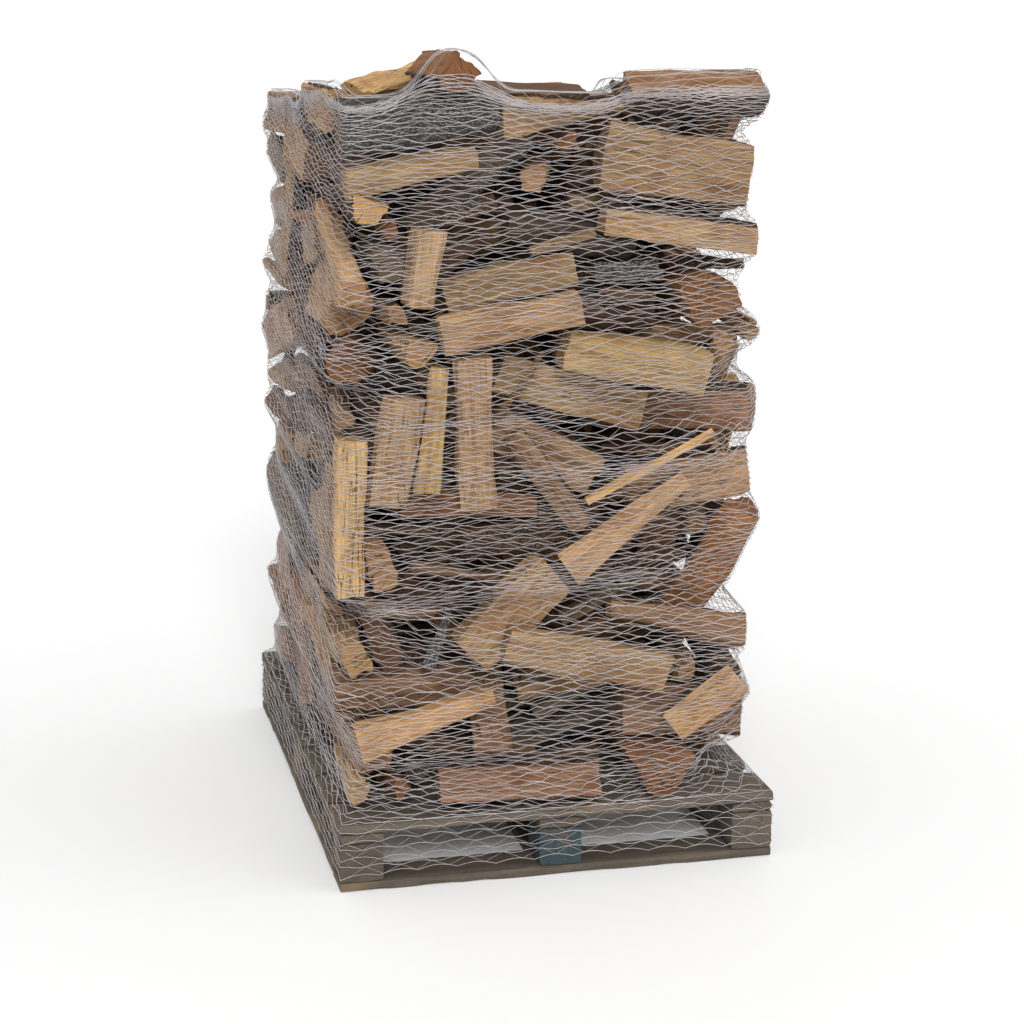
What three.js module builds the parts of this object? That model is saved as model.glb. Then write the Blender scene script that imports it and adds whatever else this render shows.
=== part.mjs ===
// A pallet load of split firewood held by an elastic net: a block pallet, the outermost
// split logs of the pile, and the net that is wound round them. Millimetres, +Z up.
// The front is the short side at -Y, and the origin is on the ground under the pallet's centre.
import * as THREE from "three";

// ---- driving dimensions ----
const PALLET_WIDTH = 1000; // along X
const PALLET_LENGTH = 1200; // along Y
const BOARD = 22; // thickness of every pallet board
const BLOCK_HEIGHT = 90;
const BLOCK_WIDTH = 98; // along X
const CORNER_BLOCK_LENGTH = 98; // along Y
const MIDDLE_BLOCK_LENGTH = 140;
const DECK_BOARDS = 7;
const DECK_BOARD_WIDTH = 132;
const BASE_BOARD_WIDTH = 98;
const GAP = 0.4; // left between pieces that touch

const STRINGER_BOTTOM = BOARD + BLOCK_HEIGHT;
const DECK_BOTTOM = STRINGER_BOTTOM + BOARD;
const DECK_TOP = DECK_BOTTOM + BOARD;

const NET_WALL = 3;
const NET_CORNER_STEPS = 4;
// The net's outer faces at each height, from the deck's edge up: left, right, front and back,
// and the radius of its upright corners.
const NET_STATIONS = [
  { z: DECK_BOTTOM + 4, left: -508, right: 508, front: -606, back: 606, radius: 9 },
  { z: DECK_TOP + 2, left: -508, right: 508, front: -606, back: 606, radius: 9 },
  { z: 330, left: -508, right: 480, front: -605, back: 603, radius: 26 },
  { z: 620, left: -508, right: 474, front: -603, back: 600, radius: 26 },
  { z: 800, left: -508, right: 490, front: -603, back: 600, radius: 26 },
  { z: 1060, left: -508, right: 476, front: -602, back: 596, radius: 26 },
  { z: 1300, left: -507, right: 460, front: -602, back: 592, radius: 26 },
  { z: 1560, left: -505, right: 454, front: -602, back: 588, radius: 26 },
  { z: 1790, left: -503, right: 454, front: -602, back: 584, radius: 26 },
];

const BARK_STEPS = 5; // facets of the round, barked side of a log

// Directions that a log's dressed face looks to before it is turned about its own axis.
const FRONT = new THREE.Vector3(0, -1, 0);
const BACK = new THREE.Vector3(0, 1, 0);
const LEFT = new THREE.Vector3(-1, 0, 0);
const RIGHT = new THREE.Vector3(1, 0, 0);
const UP = new THREE.Vector3(0, 0, 1);

const load = new THREE.Group();

function finish(color, roughness = 0.85) {
  return new THREE.MeshStandardMaterial({ color, roughness, metalness: 0 });
}

function addMesh(name, geometry, material) {
  const mesh = new THREE.Mesh(geometry, material);
  mesh.name = name;
  load.add(mesh);
  return mesh;
}

// ---- pallet ----
const palletWood = () => finish(0x7a6f62);
const paintedWood = () => finish(0x2f454b, 0.7);

// A sawn board or block given by its lowest and highest corner.
function sawn(name, low, high, material) {
  const size = high.map((value, i) => value - low[i]);
  const mesh = addMesh(name, new THREE.BoxGeometry(...size), material);
  mesh.position.set(...high.map((value, i) => (value + low[i]) / 2));
}

function addPallet() {
  const halfWidth = PALLET_WIDTH / 2;
  const halfLength = PALLET_LENGTH / 2;
  const rows = [-(halfWidth - BLOCK_WIDTH / 2), 0, halfWidth - BLOCK_WIDTH / 2];
  const sides = ["left", "middle", "right"];
  const ranks = [
    { name: "front", y: -(halfLength - CORNER_BLOCK_LENGTH / 2), length: CORNER_BLOCK_LENGTH },
    { name: "centre", y: 0, length: MIDDLE_BLOCK_LENGTH },
    { name: "back", y: halfLength - CORNER_BLOCK_LENGTH / 2, length: CORNER_BLOCK_LENGTH },
  ];

  // Base: one board across each end, and three between them under the rows of blocks.
  for (const [name, sign] of [["front", -1], ["back", 1]]) {
    const outer = sign * halfLength;
    const inner = sign * (halfLength - BASE_BOARD_WIDTH);
    const low = [-halfWidth, Math.min(outer, inner), 0];
    const high = [halfWidth, Math.max(outer, inner), BOARD];
    sawn(`base_board_${name}`, low, high, palletWood());
  }
  const between = halfLength - BASE_BOARD_WIDTH - GAP;
  rows.forEach((x, i) => {
    const low = [x - BLOCK_WIDTH / 2, -between, 0];
    const high = [x + BLOCK_WIDTH / 2, between, BOARD];
    sawn(`base_board_${sides[i]}`, low, high, palletWood());
  });

  // Nine blocks. The middle one at the front is painted.
  for (const rank of ranks) {
    rows.forEach((x, i) => {
      const painted = rank.name === "front" && sides[i] === "middle";
      const low = [x - BLOCK_WIDTH / 2, rank.y - rank.length / 2, BOARD + GAP];
      const high = [x + BLOCK_WIDTH / 2, rank.y + rank.length / 2, STRINGER_BOTTOM - GAP];
      sawn(`block_${rank.name}_${sides[i]}`, low, high, painted ? paintedWood() : palletWood());
    });
  }

  // Three stringer boards from front to back, and the deck across them.
  rows.forEach((x, i) => {
    const low = [x - BLOCK_WIDTH / 2, -halfLength, STRINGER_BOTTOM];
    const high = [x + BLOCK_WIDTH / 2, halfLength, DECK_BOTTOM - GAP];
    sawn(`stringer_board_${sides[i]}`, low, high, palletWood());
  });
  const pitch = (PALLET_LENGTH - DECK_BOARD_WIDTH) / (DECK_BOARDS - 1);
  for (let i = 0; i < DECK_BOARDS; i++) {
    const front = -halfLength + i * pitch;
    const low = [-halfWidth, front, DECK_BOTTOM];
    const high = [halfWidth, front + DECK_BOARD_WIDTH, DECK_TOP];
    sawn(`deck_board_${i + 1}`, low, high, palletWood());
  }
}

// ---- logs ----
// Outlines across a log, in a unit square. v is +0.5 on the dressed face, and bark is round.
function barkArc(fromU, fromV, toU, toV) {
  const points = [];
  for (let i = 1; i < BARK_STEPS; i++) {
    const t = i / BARK_STEPS;
    const angle = Math.PI * (1 + t);
    const sag = Math.sin(Math.PI * t);
    const v = THREE.MathUtils.lerp(fromV, toV, t);
    points.push(new THREE.Vector2((Math.cos(angle) * (toU - fromU)) / 2, v + (-0.5 - v) * sag));
  }
  return points;
}

const corner = (u, v) => new THREE.Vector2(u, v);
const OUTLINES = {
  // split from pith to bark on two sides
  quarter: [corner(0, 0.5), corner(-0.5, -0.05), ...barkArc(-0.5, -0.05, 0.5, -0.1), corner(0.5, -0.1)],
  // one flat split face
  half: [corner(0.5, 0.4), corner(-0.5, 0.5), ...barkArc(-0.5, 0.5, 0.5, 0.4)],
  // split on every side, from the heart of a thick log
  slab: [corner(0.46, 0.5), corner(-0.5, 0.42), corner(-0.43, -0.46), corner(0.12, -0.5), corner(0.5, -0.34)],
  // a thin three-sided splinter
  wedge: [corner(0.5, 0.5), corner(-0.5, 0.3), corner(-0.12, -0.5), corner(0.2, -0.44)],
};

// A straight log. Its far end's width is scaled by taper, and its depth by half as much.
function logGeometry(outline, [width, depth], length, taper) {
  const n = outline.length;
  const ends = [1, taper].map((scale, k) =>
    outline.map((p) => [p.x * width * scale, (p.y * depth * (1 + scale)) / 2, (k - 0.5) * length]),
  );
  const caps = THREE.ShapeUtils.triangulateShape(outline, []);
  const faces = [];
  for (const [a, b, c] of caps) faces.push(c, b, a, a + n, b + n, c + n);
  for (let i = 0; i < n; i++) {
    const j = (i + 1) % n;
    faces.push(i, j, j + n, i, j + n, i + n);
  }
  const geometry = new THREE.BufferGeometry();
  geometry.setAttribute("position", new THREE.Float32BufferAttribute(ends.flat(2), 3));
  geometry.setIndex(faces);
  return geometry;
}

const WOOD = { tan: 0xb08a66, yellow: 0xc9a468, orange: 0xa0693c, bark: 0x4a3a30, grey: 0x6a635c };

// A log whose axis runs from one point to another. out is where its dressed face looks.
function addLog(name, from, to, size, cut, out, { turn = 0, taper = 1, wood = "tan" } = {}) {
  const start = new THREE.Vector3(...from);
  const end = new THREE.Vector3(...to);
  const along = end.clone().sub(start).normalize();
  const face = out.clone().addScaledVector(along, -out.dot(along)).normalize();
  face.applyAxisAngle(along, THREE.MathUtils.degToRad(turn));
  const across = face.clone().cross(along);
  const shape = logGeometry(OUTLINES[cut], size, start.distanceTo(end), taper);
  const mesh = addMesh(name, shape, finish(WOOD[wood]));
  mesh.quaternion.setFromRotationMatrix(new THREE.Matrix4().makeBasis(across, face, along));
  mesh.position.copy(start).add(end).multiplyScalar(0.5);
}

function addFrontLogs() {
  // top courses
  addLog("log_top_right", [140, -522, 1721], [438, -522, 1721], [100, 84], "half", FRONT,
    { turn: -60, wood: "bark" });
  addLog("log_top_middle", [-145, -545, 1694], [124, -545, 1712], [94, 60], "half", FRONT,
    { taper: 0.32 });
  addLog("log_peak_end", [-243, -572, 1784], [-243, -240, 1776], [92, 84], "quarter", UP,
    { wood: "orange" });
  addLog("log_grey_bark", [-484, -535, 1665], [-152, -535, 1698], [128, 96], "half", FRONT,
    { turn: 180, taper: 0.66, wood: "grey" });
  addLog("log_below_grey", [-474, -540, 1557], [-190, -520, 1604], [66, 66], "slab", FRONT,
    { taper: 0.7 });
  addLog("log_broad_split", [76, -538, 1605], [400, -538, 1559], [148, 94], "half", FRONT,
    { taper: 0.9 });
  addLog("log_long_right", [85, -545, 1462], [425, -545, 1410], [82, 84], "quarter", FRONT,
    { turn: 40, wood: "tan" });
  addLog("log_right_end", [322, -574, 1288], [322, -240, 1284], [150, 128], "quarter", UP,
    { turn: 200, wood: "orange" });

  // middle courses
  addLog("log_crossbar_tan", [-274, -562, 1231], [33, -562, 1282], [82, 54], "slab", FRONT,
    { taper: 0.9 });
  addLog("log_sloping_yellow", [0, -550, 1191], [322, -550, 1125], [78, 62], "slab", FRONT,
    { taper: 1.26, wood: "yellow" });
  addLog("log_behind_upper", [-128, -462, 1132], [205, -462, 1030], [94, 78], "half", FRONT);
  addLog("log_upright_cracked", [-357, -558, 1104], [-389, -558, 866], [86, 52], "slab", FRONT);
  addLog("log_upright_narrow", [-276, -563, 1166], [-303, -563, 896], [44, 46], "slab", FRONT,
    { taper: 1.42, wood: "yellow" });
  addLog("log_upright_tall", [-203, -558, 1184], [-190, -558, 850], [80, 58], "slab", FRONT,
    { taper: 1.16 });
  addLog("log_leaning_thin", [-116, -562, 1008], [50, -562, 794], [60, 46], "quarter", FRONT,
    { turn: 12 });
  addLog("log_rising_right", [12, -558, 706], [277, -558, 897], [96, 58], "half", FRONT,
    { taper: 0.46 });
  addLog("log_right_round", [165, -476, 862], [446, -480, 893], [104, 80], "half", FRONT);
  addLog("log_red_bark", [436, -540, 810], [322, -440, 545], [98, 84], "half", FRONT,
    { turn: 150, wood: "orange" });
  addLog("log_corner_tall", [-464, -545, 1014], [-468, -545, 668], [66, 70], "slab", FRONT,
    { wood: "orange" });

  // lower courses
  addLog("log_falling_right", [-125, -565, 538], [248, -565, 450], [84, 56], "slab", FRONT);
  addLog("log_wedge_right", [115, -555, 602], [424, -555, 524], [50, 50], "quarter", FRONT,
    { turn: 20, taper: 2.0 });
  addLog("log_yellow_right", [412, -562, 432], [262, -562, 322], [86, 56], "half", FRONT,
    { wood: "yellow" });
  addLog("log_triangle_end", [242, -572, 216], [242, -240, 216], [176, 118], "wedge", UP,
    { wood: "orange" });
  addLog("log_corner_low", [-494, -488, 430], [-190, -488, 432], [100, 80], "quarter", FRONT,
    { turn: -30, wood: "orange" });
  addLog("log_pale_left", [-455, -565, 336], [-150, -565, 424], [80, 52], "slab", FRONT,
    { taper: 0.42, wood: "yellow" });
  addLog("log_red_low", [-271, -545, 212], [95, -545, 196], [80, 78], "half", FRONT,
    { turn: -25, wood: "orange" });
}

function addOtherLogs() {
  addLog("log_left_upright", [-466, -380, 925], [-474, -360, 640], [96, 52], "slab", LEFT);
  addLog("log_left_top", [-455, -470, 1700], [-455, -130, 1690], [92, 80], "half", LEFT);
  addLog("log_right_low", [420, -300, 208], [424, 40, 214], [96, 84], "half", RIGHT);
  addLog("log_right_high", [402, -180, 1330], [398, 160, 1360], [104, 84], "quarter", RIGHT);
  addLog("log_back_low", [-300, 548, 212], [40, 546, 236], [104, 80], "half", BACK);
  addLog("log_back_middle", [60, 545, 830], [340, 542, 980], [98, 76], "slab", BACK);
  addLog("log_back_high", [-330, 530, 1490], [0, 532, 1440], [110, 84], "half", BACK,
    { turn: 180, wood: "bark" });
  addLog("log_top_crosswise", [-150, 210, 1664], [190, 150, 1668], [104, 82], "half", UP);
  addLog("log_top_lengthwise", [300, -250, 1690], [320, 85, 1672], [100, 80], "quarter", UP);
}

// ---- net ----
// The plan of the net at one height: a rectangle with round corners, anticlockwise from above.
function netPlan({ left, right, front, back, z, radius: outerRadius }, inset) {
  const radius = outerRadius - inset;
  const corners = [
    [right - inset - radius, back - inset - radius],
    [left + inset + radius, back - inset - radius],
    [left + inset + radius, front + inset + radius],
    [right - inset - radius, front + inset + radius],
  ];
  return corners.flatMap(([x, y], k) =>
    Array.from({ length: NET_CORNER_STEPS + 1 }, (_, i) => {
      const angle = ((k + i / NET_CORNER_STEPS) * Math.PI) / 2;
      return [x + radius * Math.cos(angle), y + radius * Math.sin(angle), z];
    }),
  );
}

// A thin-walled sleeve, open above and below, round the load and the deck's edge.
function addNet() {
  const outer = NET_STATIONS.map((station) => netPlan(station, 0));
  const inner = NET_STATIONS.map((station) => netPlan(station, NET_WALL));
  const loops = [...outer, ...inner.reverse()];
  const n = loops[0].length;
  const faces = [];
  loops.forEach((_, k) => {
    const next = (k + 1) % loops.length;
    for (let i = 0; i < n; i++) {
      const j = (i + 1) % n;
      const [a, b, c, d] = [k * n + i, k * n + j, next * n + j, next * n + i];
      faces.push(a, b, c, a, c, d);
    }
  });
  const geometry = new THREE.BufferGeometry();
  geometry.setAttribute("position", new THREE.Float32BufferAttribute(loops.flat(2), 3));
  geometry.setIndex(faces);
  addMesh("pallet_net", geometry, finish(0xd9d0d0, 0.6));
}

addPallet();
addFrontLogs();
addOtherLogs();
addNet();

export default load;
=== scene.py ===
"""Net-wrapped pallet of split firewood: the visual model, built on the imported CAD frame. Metres."""

import math

import bpy
import numpy as np
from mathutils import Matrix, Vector


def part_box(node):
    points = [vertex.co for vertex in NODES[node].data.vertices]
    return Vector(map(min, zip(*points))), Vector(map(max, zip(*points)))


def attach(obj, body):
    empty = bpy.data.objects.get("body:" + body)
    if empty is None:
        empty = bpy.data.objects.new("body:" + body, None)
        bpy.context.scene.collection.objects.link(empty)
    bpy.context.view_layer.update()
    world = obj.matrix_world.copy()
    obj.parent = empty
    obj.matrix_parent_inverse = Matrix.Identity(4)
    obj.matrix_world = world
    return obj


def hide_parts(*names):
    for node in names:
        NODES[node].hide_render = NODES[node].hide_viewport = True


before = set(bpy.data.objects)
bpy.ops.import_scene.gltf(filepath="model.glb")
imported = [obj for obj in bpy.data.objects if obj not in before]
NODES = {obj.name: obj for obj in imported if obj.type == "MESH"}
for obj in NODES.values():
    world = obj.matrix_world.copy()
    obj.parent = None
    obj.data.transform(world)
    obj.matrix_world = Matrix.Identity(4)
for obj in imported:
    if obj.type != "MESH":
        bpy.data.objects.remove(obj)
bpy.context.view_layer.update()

SPLIT, BARK, END = 0, 1, 2  # material slots of a piece of wood
DECK_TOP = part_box("deck_board_1")[1].z
FRONT, BACK = np.array([0, -1.0, 0]), np.array([0, 1.0, 0])
LEFT, RIGHT = np.array([-1.0, 0, 0]), np.array([1.0, 0, 0])
UP = np.array([0, 0, 1.0])


# ---------------- colours
def linear(r, g, b):
    """A display colour, 0 to 255, as linear light."""
    return tuple(
        c / 12.92 if c <= 0.04045 else ((c + 0.055) / 1.055) ** 2.4
        for c in (r / 255, g / 255, b / 255)
    )


TINTS = {
    "tan": linear(176, 142, 104),
    "yellow": linear(190, 154, 105),
    "orange": linear(144, 98, 58),
    "pink": linear(148, 112, 84),
    "brown": linear(108, 78, 54),
    "bark": linear(146, 110, 76),
    "grey": linear(124, 108, 92),
}
OUTSIDE = ["tan", "tan", "tan", "yellow", "pink", "orange", "brown", "grey"]
BEHIND = ["tan", "brown", "brown", "orange", "pink", "bark", "grey"]


# ---------------- noise
def hashed(i, j, seed):
    """A random number from 0 to 1 for each pair of whole numbers."""
    h = i.astype(np.uint32) * np.uint32(374761393)
    h = h ^ (j.astype(np.uint32) * np.uint32(668265263))
    h = h ^ np.uint32((seed * 2246822519) & 0xFFFFFFFF)
    h = (h ^ (h >> np.uint32(13))) * np.uint32(1274126177)
    h = (h ^ (h >> np.uint32(15))) * np.uint32(2246822519)
    return (h ^ (h >> np.uint32(16))) / 4294967295.0


def noise(u, v, seed, wrap=0):
    """Smooth noise of two coordinates, from -1 to 1. With wrap, u repeats after that many cells."""
    i, j = np.floor(u).astype(np.int64), np.floor(v).astype(np.int64)
    a, b = u - i, v - j
    a, b = a * a * (3 - 2 * a), b * b * (3 - 2 * b)
    i1 = i + 1
    if wrap:
        i, i1 = i % wrap, i1 % wrap
    low = hashed(i, j, seed) * (1 - a) + hashed(i1, j, seed) * a
    high = hashed(i, j + 1, seed) * (1 - a) + hashed(i1, j + 1, seed) * a
    return 2 * (low * (1 - b) + high * b) - 1


def unit(v):
    return np.asarray(v, float) / np.linalg.norm(v)


# ---------------- meshes
class Batch:
    """Pieces of mesh with their grain and colour, gathered into one object."""

    def __init__(self):
        self.verts, self.tris, self.mats, self.grain, self.tint = [], [], [], [], []
        self.count = 0

    def add(self, verts, tris, mats, grain, tint):
        self.verts.append(verts)
        self.tris.append(tris + self.count)
        self.mats.append(mats)
        self.grain.append(grain)
        self.tint.append(np.broadcast_to(np.asarray(tint, float), (len(verts), 4)))
        self.count += len(verts)

    def build(self, name, materials, sharp=40):
        verts, tris = np.concatenate(self.verts), np.concatenate(self.tris)
        mesh = bpy.data.meshes.new(name)
        mesh.vertices.add(len(verts))
        mesh.vertices.foreach_set("co", verts.astype(np.float32).ravel())
        mesh.loops.add(tris.size)
        mesh.loops.foreach_set("vertex_index", tris.astype(np.int32).ravel())
        mesh.polygons.add(len(tris))
        mesh.polygons.foreach_set("loop_start", np.arange(0, tris.size, 3, dtype=np.int32))
        mesh.polygons.foreach_set("material_index", np.concatenate(self.mats).astype(np.int32))
        mesh.update(calc_edges=True)
        mesh.polygons.foreach_set("use_smooth", np.ones(len(tris), bool))
        if sharp:
            mesh.set_sharp_from_angle(angle=math.radians(sharp))
        grain = mesh.attributes.new("grain", "FLOAT_VECTOR", "POINT")
        grain.data.foreach_set("vector", np.concatenate(self.grain).astype(np.float32).ravel())
        tint = mesh.attributes.new("tint", "FLOAT_COLOR", "POINT")
        tint.data.foreach_set("color", np.concatenate(self.tint).astype(np.float32).ravel())
        for material in materials:
            mesh.materials.append(material)
        piece = bpy.data.objects.new(name, mesh)
        bpy.context.scene.collection.objects.link(piece)
        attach(piece, "root")
        return piece


def spread(outline, count):
    """About count places round an outline, its corners among them: edge numbers and fractions."""
    edges = np.linalg.norm(np.roll(outline, -1, 0) - outline, axis=1)
    shares = np.maximum(1, np.round(edges / edges.sum() * count)).astype(int)
    edge = np.repeat(np.arange(len(outline)), shares)
    return edge, np.concatenate([np.arange(k) / k for k in shares])


def ring(outline, edge, frac, bulge):
    """The places on an outline, with its bark edges bowed out into an arc."""
    a, b = outline[edge], np.roll(outline, -1, 0)[edge]
    across = b - a
    out = np.stack([across[:, 1], -across[:, 0]], 1)
    return a + across * frac[:, None] + out * (bulge * frac * (1 - frac))[:, None]


BARK_BULGE = 0.3
LOOKS = {  # heights of the marks on a surface, in metres
    "log": {"bow": 0.0072, "ledge": 0.0036, "fibre": 0.0015, "ridge": 0.0042, "round": 0.0028},
    "board": {"bow": 0.0008, "ledge": 0.0004, "fibre": 0.0004, "ridge": 0.0, "round": 0.0026},
}


def relief(s, t, girth, bark, look, seed):
    """How far each point of a piece stands out from its outline: fibres and ledges, or ridged bark."""
    def cells(size):
        return max(3, int(round(girth / size)))

    def wave(size, length, k):
        n = cells(size)
        return noise(s / girth * n, t / length, seed + k, n)

    look = LOOKS[look]
    split = look["bow"] * wave(0.080, 0.13, 1)
    split = split + look["ledge"] * np.tanh(5 * (wave(0.024, 0.19, 2) - 0.1))
    split = split + look["fibre"] * wave(0.009, 0.11, 3) + look["fibre"] * 0.6 * wave(0.005, 0.05, 4)
    ridged = look["ridge"] * (0.6 - 2 * np.abs(wave(0.015, 0.055, 5)))
    ridged = ridged + look["ridge"] * 0.4 * wave(0.007, 0.02, 6)
    return np.where(bark, ridged, split)


def loft(batch, first, last, start, end, e1, e2, kinds, tint, seed, around, rows,
         look="log", pith=(0, 0), bow=0.004, slant=0.004):
    """A piece of wood between two outlines: split and bark faces along it, and a sawn face at each end."""
    r = np.random.default_rng(seed)
    edge, frac = spread((first + last) / 2, around)
    bark_edge = kinds[edge] == BARK
    bulge = np.where(bark_edge, BARK_BULGE, 0)
    a, b = ring(first, edge, frac, bulge), ring(last, edge, frac, bulge)
    n = len(edge)
    mean = (a + b) / 2
    steps = np.linalg.norm(np.roll(mean, -1, 0) - mean, axis=1)
    girth, s = steps.sum(), np.concatenate([[0], np.cumsum(steps)[:-1]])
    length = np.linalg.norm(end - start)
    along = (end - start) / length
    f = np.linspace(0, 1, rows)
    f = f + 0.02 * np.sin(2 * np.pi * f)
    flat = a[None] * (1 - f)[:, None, None] + b[None] * f[:, None, None]
    tangent = np.roll(flat, -1, 1) - np.roll(flat, 1, 1)
    out = np.stack([tangent[..., 1], -tangent[..., 0]], -1)
    out /= np.linalg.norm(out, axis=-1, keepdims=True)
    corner = (frac == 0) & ~(bark_edge & np.roll(bark_edge, 1))
    S, T = np.broadcast_to(s, (rows, n)), np.broadcast_to((f * length)[:, None], (rows, n))
    height = relief(S, T, girth, bark_edge[None] & ~corner[None], look, seed * 11)
    wear = LOOKS[look]["round"] * (1 + 0.8 * noise(S * 40, T * 25, seed + 5))
    height = height - np.where(corner, wear, 0)
    edge_wear = np.minimum(f, 1 - f) < 1e-6
    height = height - edge_wear[:, None] * LOOKS[look]["round"] * 0.6
    flat = flat + out * height[..., None]
    turn = r.uniform(0, 2 * np.pi)
    bend = bow * r.uniform(-1, 1) * np.sin(np.pi * f)
    flat = flat + (bend[:, None] * np.array([math.cos(turn), math.sin(turn)]))[:, None, :]
    tilt = r.uniform(-slant, slant, (2, 2)) / 0.05
    lean = flat @ tilt[0] * (1 - f)[:, None] + flat @ tilt[1] * f[:, None]
    depth = T + lean
    pieces = [np.concatenate([flat, depth[..., None]], -1).reshape(-1, 3)]
    i, j = np.meshgrid(np.arange(rows - 1), np.arange(n), indexing="ij")
    p, q = (i * n + j).ravel(), (i * n + (j + 1) % n).ravel()
    tris = [np.stack([p, q, q + n], 1), np.stack([p, q + n, p + n], 1)]
    side = np.where(bark_edge, BARK, SPLIT)[j.ravel()]
    mats = [side, side]
    used = rows * n
    for which, first_row in ((0, 0), (1, (rows - 1) * n)):
        rim = pieces[0][first_row:first_row + n]
        middle = rim.mean(0)
        previous = np.arange(first_row, first_row + n)
        for share in (0.72, 0.4):
            inner = middle + (rim - middle) * share
            rough = 0.0007 * noise(inner[:, 0] * 260, inner[:, 1] * 260, seed + which)
            inner[:, 2] += rough
            pieces.append(inner)
            ids = np.arange(used, used + n)
            used += n
            nxt, nxt_ids = np.roll(previous, -1), np.roll(ids, -1)
            lower, upper = np.stack([previous, ids, nxt_ids], 1), np.stack([previous, nxt_ids, nxt], 1)
            if which:
                lower, upper = lower[:, ::-1], upper[:, ::-1]
            tris += [lower, upper]
            previous = ids
        pieces.append(middle[None])
        fan = np.stack([previous, np.full(n, used), np.roll(previous, -1)], 1)
        used += 1
        tris.append(fan[:, ::-1] if which else fan)
        mats.append(np.full(5 * n, END))
    local = np.concatenate(pieces)
    placed = start + local[:, :1] * e1 + local[:, 1:2] * e2 + local[:, 2:] * along
    grain = local - np.array([pith[0], pith[1], -seed * 0.37 % 7])
    batch.add(placed, np.concatenate(tris), np.concatenate(mats), grain, tint)
    return placed


# ---------------- logs
def bark_arc(u0, v0, u1, v1, sag=-0.5, count=4):
    """Points of a round back between two corners of a unit outline."""
    made = []
    for k in range(1, count + 1):
        t = k / (count + 1)
        base = v0 + (v1 - v0) * t
        made.append((u0 + (u1 - u0) * (0.5 - 0.5 * math.cos(math.pi * t)),
                     base + (sag - base) * math.sin(math.pi * t)))
    return made


OUTLINES = {
    "quarter": np.array([(0, 0.5), (-0.5, -0.05), *bark_arc(-0.5, -0.05, 0.5, -0.1), (0.5, -0.1)]),
    "half": np.array([(0.5, 0.4), (-0.5, 0.5), *bark_arc(-0.5, 0.5, 0.5, 0.4)]),
    "slab": np.array([(0.46, 0.5), (-0.5, 0.42), (-0.43, -0.46), (0.12, -0.5), (0.5, -0.34)]),
    "wedge": np.array([(0.5, 0.5), (-0.5, 0.3), (-0.12, -0.5), (0.2, -0.44)]),
}
FILL_OF = {"quarter": 0.80, "half": 0.88, "slab": 0.92, "wedge": 0.78}  # share of the box it needs


def kinds_of(outline):
    """Which edges of an outline carry bark: all but the longest two of seven, or one of six."""
    split = {7: 2, 6: 1}.get(len(outline), len(outline))
    lengths = np.linalg.norm(np.roll(outline, -1, 0) - outline, axis=1)
    kinds = np.full(len(outline), BARK)
    kinds[np.argsort(-lengths)[:split]] = SPLIT
    return kinds


def pith_of(outline, kinds):
    """Where the tree's heart lay in the outline's plane."""
    split = np.flatnonzero(kinds == SPLIT)
    if len(split) == 2:
        shared = split[1] if (split[0] + 1) % len(outline) == split[1] else split[0]
        return outline[shared]
    if len(split) == 1:
        return (outline[split[0]] + outline[(split[0] + 1) % len(outline)]) / 2
    return np.array([0.03, -0.09])


def shade(name, r):
    """A log's own colour, and in its fourth channel a number for its bark and its patterns."""
    base = np.array(TINTS[name]) * r.uniform(0.72, 1.12) * (1 + r.uniform(-0.04, 0.04, 3))
    return [*base, 0.9 if name == "grey" else r.uniform(0.0, 0.75)]


MOST_LOGS = 2000
PILE = {"centre": np.zeros((MOST_LOGS, 3)), "axes": np.zeros((MOST_LOGS, 3, 3)),
        "half": np.zeros((MOST_LOGS, 3)), "count": 0}  # the box round every log laid so far
OUTER = []  # points of the outermost logs, which the net goes round


def lay(centre, axes, half):
    k = PILE["count"]
    PILE["centre"][k], PILE["axes"][k], PILE["half"][k] = centre, axes, half
    PILE["count"] = k + 1


def remember(start, end, e1, e2, first, last, share):
    both = np.concatenate([first, last])
    low, high = both.min(0), both.max(0)
    mid = (low + high) / 2
    along = unit(end - start)
    centre = (start + end) / 2 + mid[0] * e1 + mid[1] * e2
    half = np.array([*(high - low) / 2 * share, np.linalg.norm(end - start) / 2])
    lay(centre, np.array([e1, e2, along]), half)


def cad_log(name, tint_name, seed):
    """Reads a CAD log's two ends from its mesh and builds the detailed log in its place."""
    mesh = NODES[name].data
    points = np.unique(np.round([v.co for v in mesh.vertices], 5), axis=0)
    centre = points.mean(0)
    axis = np.linalg.svd(points - centre)[2][0]
    reach = (points - centre) @ axis
    order = np.argsort(reach)
    split = len(points) // 2
    ends = points[order[:split]], points[order[split:]]
    start, end = ends[0].mean(0), ends[1].mean(0)
    along = unit(end - start)
    e1 = unit(np.cross(along, UP if abs(along[2]) < 0.9 else RIGHT))
    e2 = np.cross(along, e1)
    flat = []
    for pts, middle in zip(ends, (start, end)):
        uv = np.stack([(pts - middle) @ e1, (pts - middle) @ e2], 1)
        flat.append(uv[np.argsort(np.arctan2(uv[:, 1], uv[:, 0]))])
    scale = [np.abs(f).max() for f in flat]
    best = min(range(split), key=lambda k: np.linalg.norm(
        flat[0] / scale[0] - np.roll(flat[1], -k, 0) / scale[1]))
    first, last = flat[0], np.roll(flat[1], -best, 0)
    kinds = kinds_of((first + last) / 2)
    pith = pith_of((first + last) / 2, kinds)
    if name in BARKLESS:
        kinds = np.full(len(kinds), SPLIT)
    batch = Batch()
    tint = shade(tint_name, np.random.default_rng(seed + 700))
    verts = loft(batch, first, last, start, end, e1, e2, kinds, tint, seed, 52, 26,
                 pith=pith, bow=0.002, slant=0.003)
    OUTER.append(verts)
    remember(start, end, e1, e2, first, last, 0.94)
    piece = batch.build(name + "_wood", WOODS)
    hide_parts(name)
    return piece


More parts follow.
